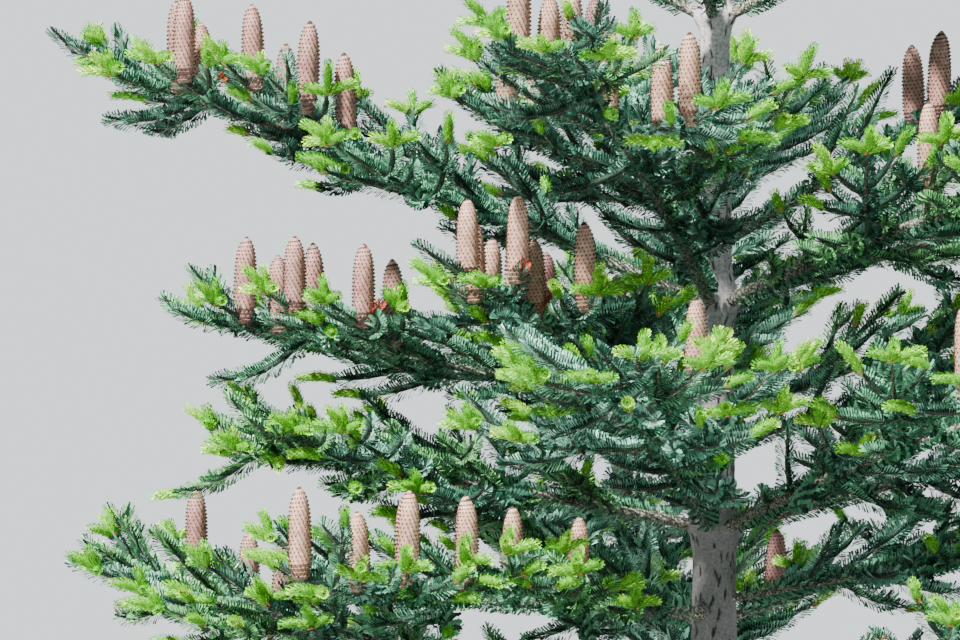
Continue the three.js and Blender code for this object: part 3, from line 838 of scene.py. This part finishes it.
# Each tint: the colours of the darker rows (painted shade), then of the lighter rows (painted highlight).
NEW_TINTS = {
    "lime": ([(0.09, 0.40, 0.006), (0.18, 0.58, 0.015)], [(0.32, 0.90, 0.03), (0.50, 1.0, 0.10)]),
    "yellow": ([(0.20, 0.52, 0.012), (0.33, 0.68, 0.025)], [(0.52, 1.0, 0.06), (0.74, 1.0, 0.18)]),
    "leaf": ([(0.03, 0.20, 0.006), (0.06, 0.30, 0.012)], [(0.13, 0.56, 0.03), (0.23, 0.74, 0.06)]),
}
shoot_tint = rng.choice(len(NEW_TINTS), len(shoots), p=[0.50, 0.22, 0.28])
for k, (tint, colours) in enumerate(NEW_TINTS.items()):
    chosen = [shoot for shoot, dealt in zip(shoots, shoot_tint) if dealt == k]
    faces = needles(path_arrays(chosen), NEW_PER_METRE, NEW_IN_TURN, NEW_LENGTH, NEW_WIDTH, NEW_LEAN, 80 + k)
    needle_pieces(f"new_needles_{tint}", faces, colours, 0.015, 0.5)
stem_paint = node_material("new_stems", [(0.035, 0.17, 0.006), (0.20, 0.56, 0.018)], 0.0022, 0.6)
stem_radii = [NEW_CORE * share for share in (0.7, 0.95, 1.0, 0.9, 0.25)]
mesh_piece("new_stems", *line_tubes(path_arrays(shoots), 5, stem_radii, 5), stem_paint, "needles", True)

BUD_LENGTH = 0.009
BUD_RADII = (0.004, 0.0062, 0.0072)
ends = [new_shoot(shoot.start - shoot.heading * 0.002, shoot.heading, BUD_LENGTH, 0) for shoot in shoots[::2]]
bud_paint = node_material("bud_scales", [(0.34, 0.12, 0.03), (0.62, 0.30, 0.10)], 0.004, 0.6)
mesh_piece("bud_scales", *line_tubes(path_arrays(ends), 3, BUD_RADII, 4), bud_paint, "bough_bark")


# The cones: upright on the upper side of the twigs, barrel-shaped with a blunt point, closed scales in
# spirals with a dark bract tip at the upper edge of each, and looser scales round the foot, painted darker as
# the shade under the cone. The ripening green-brown wood is painted by the light: tan on the side of the tree
# towards the sun, plum as painted shade on the back, rose on the sides between.
CONE_GIRTH = 0.0160
SCALE_TOP = CONE_HEIGHT - 0.003
SCALES_ON_CONE = 340
SCALES_IN_TURN = 15.4
SMALLEST_SCALE = 0.38
SCALE_HOLLOW = 0.0008
SCALE_CROWN = 0.0016
FOOT_SCALES = 66
BARE_POINT_SCALES = 16
CONE_OUTLINE = [(0, 0.68), (0.06, 0.86), (0.25, 1.0), (0.5, 0.99), (0.7, 0.92), (0.82, 0.80), (0.9, 0.63),
                (0.96, 0.42), (1, 0.12)]
# How a scale leans at each share of the cone's height: 0.5 stands straight up, more leans inwards.
SCALE_LEAN = [(0, 0.4), (0.1, 0.5), (0.55, 0.5), (0.8, 0.62), (0.92, 0.76), (1, 0.95)]


def float_curve(tree, points, value):
    """A node that reads a value off a drawn curve."""
    curve = tree.nodes.new("ShaderNodeFloatCurve")
    drawn = curve.mapping.curves[0].points
    for i, (x, y) in enumerate(points):
        spot = drawn[i] if i < 2 else drawn.new(x, y)
        spot.location = (x, y)
    curve.mapping.update()
    tree.links.new(value, curve.inputs["Value"])
    return curve.outputs["Value"]


def maths(tree, operation, *values):
    """A maths node with each value either another node's output or a plain number."""
    node = tree.nodes.new("ShaderNodeMath")
    node.operation = operation
    for socket, value in zip(node.inputs, values):
        if isinstance(value, (int, float)):
            socket.default_value = value
        else:
            tree.links.new(value, socket)
    return node.outputs[0]


def vector_of(tree, *values):
    node = tree.nodes.new("ShaderNodeCombineXYZ")
    for socket, value in zip(node.inputs, values):
        if isinstance(value, (int, float)):
            socket.default_value = value
        else:
            tree.links.new(value, socket)
    return node.outputs[0]


def attribute_of(tree, name, kind):
    node = tree.nodes.new("GeometryNodeInputNamedAttribute")
    node.data_type = kind
    node.inputs["Name"].default_value = name
    return node.outputs["Attribute"]


def rotation_of(tree, z_axis, x_axis):
    node = tree.nodes.new("FunctionNodeAxesToRotation")
    node.primary_axis = "Z"
    node.secondary_axis = "X"
    tree.links.new(z_axis, node.inputs["Primary Axis"])
    tree.links.new(x_axis, node.inputs["Secondary Axis"])
    return node.outputs[0]


def cone_tree():
    """Sets one small shape in spirals round every cone that stands on the given sites."""
    tree = bpy.data.node_groups.new("cone_spirals", "GeometryNodeTree")
    face = tree.interface
    face.new_socket("Geometry", in_out="INPUT", socket_type="NodeSocketGeometry")
    face.new_socket("Shape", in_out="INPUT", socket_type="NodeSocketObject")
    face.new_socket("First", in_out="INPUT", socket_type="NodeSocketInt")
    face.new_socket("Last", in_out="INPUT", socket_type="NodeSocketInt")
    face.new_socket("Height", in_out="INPUT", socket_type="NodeSocketFloat")
    face.new_socket("Radius", in_out="INPUT", socket_type="NodeSocketFloat")
    face.new_socket("Paint", in_out="INPUT", socket_type="NodeSocketMaterial")
    face.new_socket("Geometry", in_out="OUTPUT", socket_type="NodeSocketGeometry")
    given = tree.nodes.new("NodeGroupInput").outputs
    result = tree.nodes.new("NodeGroupOutput")
    index = maths(tree, "ADD", tree.nodes.new("GeometryNodeInputIndex").outputs[0], given["First"])
    share = maths(tree, "DIVIDE", index, SCALES_ON_CONE)
    turn = maths(tree, "MULTIPLY", index, 2 * math.pi / SCALES_IN_TURN)
    girth = float_curve(tree, CONE_OUTLINE, share)
    radius = maths(tree, "MULTIPLY", girth, given["Radius"])
    cosine = maths(tree, "COSINE", turn)
    sine = maths(tree, "SINE", turn)
    outward = maths(tree, "MULTIPLY_ADD", float_curve(tree, SCALE_LEAN, share), -2.4, 1.2)

    spots = tree.nodes.new("GeometryNodePoints")
    tree.links.new(maths(tree, "SUBTRACT", given["Last"], given["First"]), spots.inputs["Count"])
    place = vector_of(tree, maths(tree, "MULTIPLY", radius, cosine), maths(tree, "MULTIPLY", radius, sine),
                      maths(tree, "MULTIPLY", share, given["Height"]))
    tree.links.new(place, spots.inputs["Position"])
    shape = tree.nodes.new("GeometryNodeObjectInfo")
    tree.links.new(given["Shape"], shape.inputs["Object"])
    scales = tree.nodes.new("GeometryNodeInstanceOnPoints")
    tree.links.new(spots.outputs[0], scales.inputs["Points"])
    tree.links.new(shape.outputs["Geometry"], scales.inputs["Instance"])
    tangent = vector_of(tree, maths(tree, "MULTIPLY", sine, -1), cosine, 0.0)
    upward = vector_of(tree, maths(tree, "MULTIPLY", cosine, outward),
                       maths(tree, "MULTIPLY", sine, outward), 1.0)
    tree.links.new(rotation_of(tree, upward, tangent), scales.inputs["Rotation"])
    size = maths(tree, "MULTIPLY_ADD", girth, 1 - SMALLEST_SCALE, SMALLEST_SCALE)
    tree.links.new(vector_of(tree, size, size, size), scales.inputs["Scale"])
    one_cone = tree.nodes.new("GeometryNodeRealizeInstances")
    tree.links.new(scales.outputs[0], one_cone.inputs[0])

    cones = tree.nodes.new("GeometryNodeInstanceOnPoints")
    tree.links.new(given["Geometry"], cones.inputs["Points"])
    tree.links.new(one_cone.outputs[0], cones.inputs["Instance"])
    lean = attribute_of(tree, "lean", "FLOAT_VECTOR")
    facing = attribute_of(tree, "facing", "FLOAT_VECTOR")
    tree.links.new(rotation_of(tree, lean, facing), cones.inputs["Rotation"])
    tree.links.new(attribute_of(tree, "size", "FLOAT_VECTOR"), cones.inputs["Scale"])
    all_cones = tree.nodes.new("GeometryNodeRealizeInstances")
    tree.links.new(cones.outputs[0], all_cones.inputs[0])
    painted = tree.nodes.new("GeometryNodeSetMaterial")
    tree.links.new(all_cones.outputs[0], painted.inputs["Geometry"])
    tree.links.new(given["Paint"], painted.inputs["Material"])
    tree.links.new(painted.outputs[0], result.inputs[0])
    return tree


def small_shape(name, points, faces):
    mesh = bpy.data.meshes.new(name)
    mesh.from_pydata(points, [], faces)
    return bpy.data.objects.new(name, mesh)


def cone_scale(name, rows):
    """A scale as a little curved shingle: for each row its height, how far out it is and its half width."""
    points = []
    for height, depth, half_width in rows:
        for x in (-1, 0, 1):
            points.append((x * half_width, SCALE_HOLLOW * x * x - depth, height - SCALE_CROWN * x * x))
    corners = [r * 3 + c for r in range(len(rows) - 1) for c in (0, 1)]
    return small_shape(name, points, [(i, i + 1, i + 4, i + 3) for i in corners])


open_scale = cone_scale("open_scale", [(-0.0040, -0.0028, 0.0036), (0.0022, 0.0004, 0.0044),
                                       (0.0034, -0.0016, 0.0038)])
shut_scale = cone_scale("shut_scale", [(-0.0042, -0.0010, 0.0036), (0.0036, 0.0002, 0.0040)])
bract_points = [(-0.0018, 0.0, 0.0034), (0.0018, 0.0, 0.0034), (0, -0.0024, 0.0022), (0, -0.0004, -0.0004)]
cone_bract = small_shape("cone_bract", bract_points, [(0, 3, 2), (3, 1, 2)])

spirals = cone_tree()


def grown_cones(name, sites, shape, first, last, paint):
    """The given shape set round the cones on the given sites, as one finished piece."""
    mesh = bpy.data.meshes.new(name)
    mesh.from_pydata([site[0] for site in sites], [], [])
    rng = np.random.default_rng(len(sites))
    facings = rng.uniform(0, 2 * math.pi, len(sites))
    values = {
        "lean": [tuple(lean) for _, _, lean in sites],
        "facing": [(math.cos(turn), math.sin(turn), 0) for turn in facings],
        "size": [(1, 1, height / CONE_HEIGHT) for _, height, _ in sites],
    }
    for key, rows in values.items():
        layer = mesh.attributes.new(key, "FLOAT_VECTOR", "POINT")
        layer.data.foreach_set("vector", np.array(rows, dtype=np.float32).ravel())
    holder = bpy.data.objects.new(name, mesh)
    bpy.context.collection.objects.link(holder)
    growth = holder.modifiers.new("spirals", "NODES")
    growth.node_group = spirals
    chosen = {"Shape": shape, "First": first, "Last": last, "Height": SCALE_TOP, "Radius": CONE_GIRTH,
              "Paint": paint}
    for item in spirals.interface.items_tree:
        if item.in_out == "INPUT" and item.name in chosen:
            growth[item.identifier] = chosen[item.name]
    ready = holder.evaluated_get(bpy.context.evaluated_depsgraph_get())
    grown = bpy.data.meshes.new_from_object(ready)
    holder.modifiers.clear()
    holder.data = grown
    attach(holder, "root")


# For each tint the foot's colours, painted darker as the shade under the cone, then the body's.
CONE_TINTS = {
    "tan": ([(0.24, 0.125, 0.085), (0.50, 0.29, 0.20)], [(0.50, 0.26, 0.175), (0.80, 0.52, 0.39)]),
    "rose": ([(0.18, 0.083, 0.075), (0.38, 0.20, 0.175)], [(0.40, 0.185, 0.155), (0.64, 0.375, 0.315)]),
    "plum": ([(0.125, 0.058, 0.057), (0.25, 0.128, 0.118)], [(0.25, 0.115, 0.110), (0.42, 0.225, 0.205)]),
}


def cone_tint(bough):
    """Painted light and shade by bearing: tan on the sunny front, rose on both sides, plum as painted shade
    on the back.
    """
    bearing = math.degrees(bough.bearing) % 360
    if 203 < bearing < 320:
        return "tan"
    return "plum" if 20 < bearing < 140 else "rose"


for tint, (foot, body) in CONE_TINTS.items():
    sites = [site for bough in boughs if cone_tint(bough) == tint for site in bough.sites]
    foot_shade_paint = node_material(f"cone_foot_{tint}", foot, 0.008, 0.65)
    body_paint = node_material(f"cone_{tint}", body, 0.008, 0.6)
    grown_cones(f"cone_feet_{tint}", sites, open_scale, 0, FOOT_SCALES, foot_shade_paint)
    grown_cones(f"cone_scales_{tint}", sites, shut_scale, FOOT_SCALES, SCALES_ON_CONE, body_paint)
bract_paint = node_material("cone_bracts", [(0.025, 0.011, 0.008), (0.09, 0.04, 0.024)], 0.004, 0.7)
last_bract = SCALES_ON_CONE - BARE_POINT_SCALES
grown_cones("cone_bracts", all_sites, cone_bract, FOOT_SCALES // 2, last_bract, bract_paint)

# A core fills each cone behind its scales, painted dark as the shade in the gaps between them.
CORE_INSET = 0.0016
core_share = np.array([0.02, 0.1, 0.35, 0.65, 0.85, 0.93, 0.985])
core_girth = np.interp(core_share, *zip(*CONE_OUTLINE)) * CONE_GIRTH - CORE_INSET
core_paths = np.array([[tuple(point + lean * (height * s)) for s in core_share]
                       for point, height, lean in all_sites])
core_radii = np.broadcast_to(core_girth, core_paths.shape[:2])
core_shade_paint = node_material("cone_core_shade", [(0.05, 0.025, 0.02), (0.09, 0.045, 0.03)], 0.01, 0.9)
mesh_piece("cone_cores", *tubes(core_paths, core_radii, 7), core_shade_paint, "bough_bark", True)


# The withered shoots: a few of this spring's, killed by frost or insects beside the cones, dry, curved and
# brick red, with their shrunken needles still on them.
WITHERED_CHANCE = 0.32
WITHERED_SIZES = (0.036, 0.05)
WITHERED_PER_METRE = 2600
WITHERED_IN_TURN = 8.5
WITHERED_LENGTH = 0.0085
WITHERED_WIDTH = 0.0022
WITHERED_LEAN = (1.1, 1, 0)
WITHERED_CORE = 0.0042
# The colours of the darker rows (painted shade), then of the lighter rows (painted highlight).
WITHERED_TONES = (
    [(0.16, 0.022, 0.012), (0.30, 0.045, 0.02)],
    [(0.32, 0.045, 0.02), (0.52, 0.10, 0.035)],
)

rng = np.random.default_rng(31)
withered = []
for point, _, _ in all_sites:
    if rng.uniform() < WITHERED_CHANCE:
        turn = rng.uniform(0, 2 * math.pi)
        heading = Vector((math.cos(turn), math.sin(turn), rng.uniform(0.3, 1.6)))
        withered.append(new_shoot(point + heading * 0.006, heading, rng.uniform(*WITHERED_SIZES), 0.3))
faces = needles(path_arrays(withered), WITHERED_PER_METRE, WITHERED_IN_TURN, WITHERED_LENGTH, WITHERED_WIDTH,
                WITHERED_LEAN, 95)
needle_pieces("withered_shoots", faces, WITHERED_TONES, 0.006, 0.7)
withered_radii = [WITHERED_CORE * share for share in (0.6, 1.0, 0.9, 0.08)]
withered_paint = node_material("withered_stems", [(0.12, 0.02, 0.012), (0.26, 0.04, 0.02)], 0.006, 0.8)
mesh_piece("withered_stems", *line_tubes(path_arrays(withered), 5, withered_radii, 5), withered_paint,
           "bough_bark", True)
